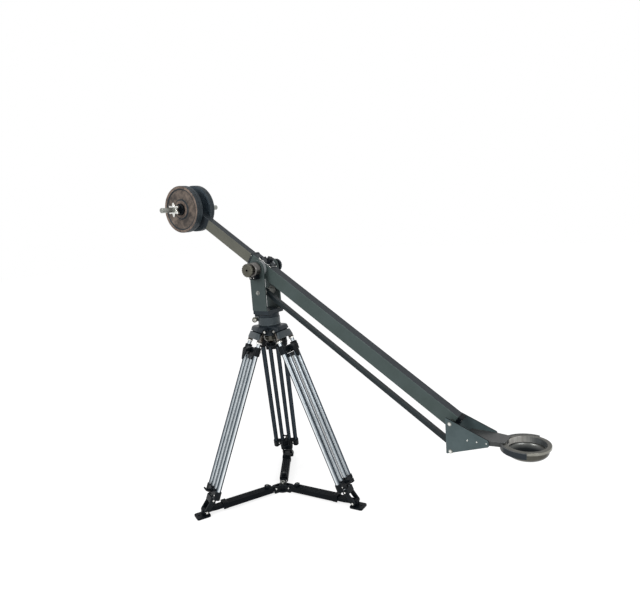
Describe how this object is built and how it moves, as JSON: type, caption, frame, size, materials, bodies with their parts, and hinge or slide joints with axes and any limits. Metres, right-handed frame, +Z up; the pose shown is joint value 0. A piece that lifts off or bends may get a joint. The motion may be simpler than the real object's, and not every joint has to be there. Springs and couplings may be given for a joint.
{
  "type": "camera jib",
  "caption": "Counterweighted camera boom with a levelling head and bowl, on a pan and tilt yoke and a tripod with a ground spreader",
  "frame": {"origin": "on the floor under the middle of the ground spreader, on the pan axis", "axes": "+Z up the pan axis, +X along the boom's reach towards the bowl"},
  "size_m": [1.8863, 0.8201, 1.5611],
  "materials": {
    "black_casting": "satin black paint on a light alloy casting",
    "black_paint": "satin black paint on aluminium",
    "grey_green_paint": "satin grey-green paint on aluminium",
    "slate_paint": "satin slate paint on aluminium",
    "warm_grey_paint": "satin warm grey paint on aluminium",
    "silver_anodised": "silver anodised tube with black castings",
    "bright_steel": "machined steel",
    "chrome": "polished chrome",
    "olive_knob": "dark olive anodised and knurled",
    "cast_iron": "worn cast iron",
    "dark_cast_iron": "dark enamelled cast iron",
    "turned_aluminium": "satin turned aluminium",
    "grey_anodised": "grey anodised aluminium"
  },
  "bodies": {
    "crown": {"crown": "black_casting", "pan_base": "black_paint"},
    "tie_down": {"tie_down_knob": "black_casting"},
    "hub": {"spreader_hub": "black_casting"},
    "leg_1_upper": {"leg_1_yoke": "black_paint"},
    "leg_1_middle": {"leg_1_frame": "silver_anodised"},
    "leg_1_bottom": {"leg_1_lower": "silver_anodised"},
    "flip_lever_1": {"leg_1_lever": "black_paint"},
    "wing_screw_1": {"leg_1_wing_screw": "black_paint"},
    "foot_1": {"foot_1_bar": "black_paint"},
    "arm_1": {"spreader_1_arm": "black_paint"},
    "arm_knob_1": {"spreader_1_knob": "black_paint"},
    "leg_2_upper": {"leg_2_yoke": "black_paint"},
    "leg_2_middle": {"leg_2_frame": "silver_anodised"},
    "leg_2_bottom": {"leg_2_lower": "silver_anodised"},
    "flip_lever_2": {"leg_2_lever": "black_paint"},
    "wing_screw_2": {"leg_2_wing_screw": "black_paint"},
    "foot_2": {"foot_2_bar": "black_paint"},
    "arm_2": {"spreader_2_arm": "black_paint"},
    "arm_knob_2": {"spreader_2_knob": "black_paint"},
    "leg_3_upper": {"leg_3_yoke": "black_paint"},
    "leg_3_middle": {"leg_3_frame": "silver_anodised"},
    "leg_3_bottom": {"leg_3_lower": "silver_anodised"},
    "flip_lever_3": {"leg_3_lever": "black_paint"},
    "wing_screw_3": {"leg_3_wing_screw": "black_paint"},
    "foot_3": {"foot_3_bar": "black_paint"},
    "arm_3": {"spreader_3_arm": "black_paint"},
    "arm_knob_3": {"spreader_3_knob": "black_paint"},
    "pan_knob": {"pan_lock_knob": "olive_knob"},
    "turntable": {"turntable": "black_paint", "yoke_plate_near": "grey_green_paint", "yoke_plate_far": "grey_green_paint", "rod_pivot_bolt": "bright_steel", "tilt_drum_near": "olive_knob", "tilt_drum_far": "olive_knob"},
    "boom": {"boom_tube": "grey_green_paint", "pivot_flange_near": "grey_anodised", "pivot_flange_far": "grey_anodised", "boom_guide_collar": "slate_paint", "boom_front_block": "black_paint", "arm_clamp_plate": "bright_steel"},
    "control_rod": {"control_rod": "black_paint"},
    "head": {"head_plate_near": "grey_green_paint", "head_plate_far": "grey_green_paint", "bowl_arm": "slate_paint", "bowl": "turned_aluminium", "head_bolt_upper": "bright_steel", "head_bolt_lower": "bright_steel"},
    "tilt_knob_near": {"tilt_knob_near": "olive_knob"},
    "tilt_knob_far": {"tilt_knob_far": "olive_knob"},
    "arm_lock": {"arm_lock_knob": "black_paint"},
    "rear_arm": {"rear_arm_tube": "warm_grey_paint", "weight_bar_block": "slate_paint", "weight_bar": "bright_steel"},
    "weight_near_inner": {"weight_near_inner": "dark_cast_iron"},
    "weight_near_outer": {"weight_near_outer": "cast_iron"},
    "weight_far_inner": {"weight_far_inner": "dark_cast_iron"},
    "weight_far_outer": {"weight_far_outer": "dark_cast_iron"},
    "spin_lock_near": {"spin_lock_near": "chrome"},
    "spin_lock_far": {"spin_lock_far": "chrome"}
  },
  "joints": [
    {"name": "tie_down_turn", "type": "hinge", "parent": "crown", "child": "tie_down", "pos_m": [0, 0, 0.7856], "axis": [0, 0, 1], "continuous": true},
    {"name": "hub_drop", "type": "slide", "parent": "crown", "child": "hub", "axis": [0, 0, -1], "range_m": [0, 0.22262]},
    {"name": "leg_1_spread", "type": "hinge", "parent": "crown", "child": "leg_1_upper", "pos_m": [0.0479, 0.0031, 0.8356], "axis": [0.0645, -0.9979, 0], "range_deg": [-2, 4]},
    {"name": "leg_1_stage_1", "type": "slide", "parent": "leg_1_upper", "child": "leg_1_middle", "axis": [0.3738, 0.0242, -0.9272], "range_m": [0, 0.12]},
    {"name": "leg_1_stage_2", "type": "slide", "parent": "leg_1_middle", "child": "leg_1_bottom", "axis": [0.3738, 0.0242, -0.9272], "range_m": [0, 0.12]},
    {"name": "foot_1_ankle", "type": "hinge", "parent": "leg_1_bottom", "child": "foot_1", "pos_m": [0.41132, 0.0266, 0.025], "axis": [0.0645, -0.9979, 0], "range_deg": [-5, 5]},
    {"name": "arm_1_swing", "type": "hinge", "parent": "hub", "child": "arm_1", "pos_m": [0.04491, 0.0029, 0.025], "axis": [0.0645, -0.9979, 0], "range_deg": [-5, 5]},
    {"name": "arm_1_knob_turn", "type": "hinge", "parent": "arm_1", "child": "arm_knob_1", "pos_m": [0.08782, 0.00568, 0.045], "axis": [0, 0, 1], "continuous": true},
    {"name": "leg_1_lever_flip", "type": "hinge", "parent": "leg_1_middle", "child": "flip_lever_1", "pos_m": [0.12487, 0.00808, 0.76215], "axis": [0.0645, -0.9979, 0], "range_deg": [0, 80]},
    {"name": "leg_1_wing_turn", "type": "hinge", "parent": "leg_1_middle", "child": "wing_screw_1", "pos_m": [0.38874, 0.02514, 0.12371], "axis": [0.9253, 0.0598, 0.3746], "continuous": true},
    {"name": "leg_2_spread", "type": "hinge", "parent": "crown", "child": "leg_2_upper", "pos_m": [-0.02663, 0.03993, 0.8356], "axis": [0.832, 0.5548, 0], "range_deg": [-2, 4]},
    {"name": "leg_2_stage_1", "type": "slide", "parent": "leg_2_upper", "child": "leg_2_middle", "axis": [-0.2078, 0.3117, -0.9272], "range_m": [0, 0.12]},
    {"name": "leg_2_stage_2", "type": "slide", "parent": "leg_2_middle", "child": "leg_2_bottom", "axis": [-0.2078, 0.3117, -0.9272], "range_m": [0, 0.12]},
    {"name": "foot_2_ankle", "type": "hinge", "parent": "leg_2_bottom", "child": "foot_2", "pos_m": [-0.22869, 0.34291, 0.025], "axis": [0.832, 0.5548, 0], "range_deg": [-5, 5]},
    {"name": "arm_2_swing", "type": "hinge", "parent": "hub", "child": "arm_2", "pos_m": [-0.02497, 0.03744, 0.025], "axis": [0.832, 0.5548, 0], "range_deg": [-5, 5]},
    {"name": "arm_2_knob_turn", "type": "hinge", "parent": "arm_2", "child": "arm_knob_2", "pos_m": [-0.04883, 0.07321, 0.045], "axis": [0, 0, 1], "continuous": true},
    {"name": "leg_2_lever_flip", "type": "hinge", "parent": "leg_2_middle", "child": "flip_lever_2", "pos_m": [-0.06943, 0.10411, 0.76215], "axis": [0.832, 0.5548, 0], "range_deg": [0, 80]},
    {"name": "leg_2_wing_turn", "type": "hinge", "parent": "leg_2_middle", "child": "wing_screw_2", "pos_m": [-0.21614, 0.32409, 0.12371], "axis": [-0.5144, 0.7714, 0.3746], "continuous": true},
    {"name": "leg_3_spread", "type": "hinge", "parent": "crown", "child": "leg_3_upper", "pos_m": [-0.02127, -0.04303, 0.8356], "axis": [-0.8965, 0.4431, 0], "range_deg": [-2, 4]},
    {"name": "leg_3_stage_1", "type": "slide", "parent": "leg_3_upper", "child": "leg_3_middle", "axis": [-0.166, -0.3358, -0.9272], "range_m": [0, 0.12]},
    {"name": "leg_3_stage_2", "type": "slide", "parent": "leg_3_middle", "child": "leg_3_bottom", "axis": [-0.166, -0.3358, -0.9272], "range_m": [0, 0.12]},
    {"name": "foot_3_ankle", "type": "hinge", "parent": "leg_3_bottom", "child": "foot_3", "pos_m": [-0.18262, -0.36951, 0.025], "axis": [-0.8965, 0.4431, 0], "range_deg": [-5, 5]},
    {"name": "arm_3_swing", "type": "hinge", "parent": "hub", "child": "arm_3", "pos_m": [-0.01994, -0.04034, 0.025], "axis": [-0.8965, 0.4431, 0], "range_deg": [-5, 5]},
    {"name": "arm_3_knob_turn", "type": "hinge", "parent": "arm_3", "child": "arm_knob_3", "pos_m": [-0.03899, -0.07889, 0.045], "axis": [0, 0, 1], "continuous": true},
    {"name": "leg_3_lever_flip", "type": "hinge", "parent": "leg_3_middle", "child": "flip_lever_3", "pos_m": [-0.05544, -0.11218, 0.76215], "axis": [-0.8965, 0.4431, 0], "range_deg": [0, 80]},
    {"name": "leg_3_wing_turn", "type": "hinge", "parent": "leg_3_middle", "child": "wing_screw_3", "pos_m": [-0.1726, -0.34923, 0.12371], "axis": [-0.4108, -0.8312, 0.3746], "continuous": true},
    {"name": "pan_knob_turn", "type": "hinge", "parent": "crown", "child": "pan_knob", "pos_m": [-0.0557, -0.039, 0.8921], "axis": [0.5736, -0.8192, 0], "continuous": true},
    {"name": "pan", "type": "hinge", "parent": "crown", "child": "turntable", "pos_m": [0, 0, 0.9209], "axis": [0, 0, 1], "continuous": true},
    {"name": "boom_tilt", "type": "hinge", "parent": "turntable", "child": "boom", "pos_m": [-0.005, 0, 1.1409], "axis": [0, -1, 0], "range_deg": [-16.5, 83.5]},
    {"name": "rod_swing", "type": "hinge", "parent": "turntable", "child": "control_rod", "pos_m": [-0.005, 0, 1.0259], "axis": [0, -1, 0], "range_deg": [-16.5, 83.5]},
    {"name": "head_level", "type": "hinge", "parent": "boom", "child": "head", "pos_m": [0.93062, 0, 0.52163], "axis": [0, -1, 0], "range_deg": [-83.5, 16.5]},
    {"name": "tilt_knob_near_turn", "type": "hinge", "parent": "boom", "child": "tilt_knob_near", "pos_m": [-0.005, -0.11, 1.1409], "axis": [0, 1, 0], "continuous": true},
    {"name": "tilt_knob_far_turn", "type": "hinge", "parent": "boom", "child": "tilt_knob_far", "pos_m": [-0.005, 0.09, 1.1409], "axis": [0, 1, 0], "continuous": true},
    {"name": "arm_lock_turn", "type": "hinge", "parent": "boom", "child": "arm_lock", "pos_m": [0.03427, 0, 1.17487], "axis": [0.5519, 0, 0.8339], "continuous": true},
    {"name": "rear_arm_slide", "type": "slide", "parent": "boom", "child": "rear_arm", "axis": [0.8339, 0, -0.5519], "range_m": [-0.1, 0.15]},
    {"name": "weight_near_inner_turn", "type": "hinge", "parent": "rear_arm", "child": "weight_near_inner", "pos_m": [-0.46197, 0, 1.44336], "axis": [0, 1, 0], "continuous": true},
    {"name": "weight_near_outer_turn", "type": "hinge", "parent": "rear_arm", "child": "weight_near_outer", "pos_m": [-0.46197, 0, 1.44336], "axis": [0, 1, 0], "continuous": true},
    {"name": "weight_far_inner_turn", "type": "hinge", "parent": "rear_arm", "child": "weight_far_inner", "pos_m": [-0.46197, 0, 1.44336], "axis": [0, 1, 0], "continuous": true},
    {"name": "weight_far_outer_turn", "type": "hinge", "parent": "rear_arm", "child": "weight_far_outer", "pos_m": [-0.46197, 0, 1.44336], "axis": [0, 1, 0], "continuous": true},
    {"name": "spin_lock_near_turn", "type": "hinge", "parent": "rear_arm", "child": "spin_lock_near", "pos_m": [-0.46197, 0, 1.44336], "axis": [0, 1, 0], "continuous": true},
    {"name": "spin_lock_far_turn", "type": "hinge", "parent": "rear_arm", "child": "spin_lock_far", "pos_m": [-0.46197, 0, 1.44336], "axis": [0, 1, 0], "continuous": true}
  ],
  "couplings": [
    {"joint": "arm_1_swing", "follows": "leg_1_spread", "ratio": 0.99},
    {"joint": "foot_1_ankle", "follows": "leg_1_spread", "ratio": -0.01},
    {"joint": "leg_1_stage_2", "follows": "leg_1_stage_1", "ratio": 1},
    {"joint": "arm_2_swing", "follows": "leg_1_spread", "ratio": 0.99},
    {"joint": "foot_2_ankle", "follows": "leg_1_spread", "ratio": -0.01},
    {"joint": "leg_2_spread", "follows": "leg_1_spread", "ratio": 1},
    {"joint": "leg_2_stage_1", "follows": "leg_1_stage_1", "ratio": 1},
    {"joint": "leg_2_stage_2", "follows": "leg_1_stage_1", "ratio": 1},
    {"joint": "arm_3_swing", "follows": "leg_1_spread", "ratio": 0.99},
    {"joint": "foot_3_ankle", "follows": "leg_1_spread", "ratio": -0.01},
    {"joint": "leg_3_spread", "follows": "leg_1_spread", "ratio": 1},
    {"joint": "leg_3_stage_1", "follows": "leg_1_stage_1", "ratio": 1},
    {"joint": "leg_3_stage_2", "follows": "leg_1_stage_1", "ratio": 1},
    {"joint": "hub_drop", "follows": "leg_1_stage_1", "ratio": 1.8544},
    {"joint": "rod_swing", "follows": "boom_tilt", "ratio": 1},
    {"joint": "head_level", "follows": "boom_tilt", "ratio": -1}
  ]
}
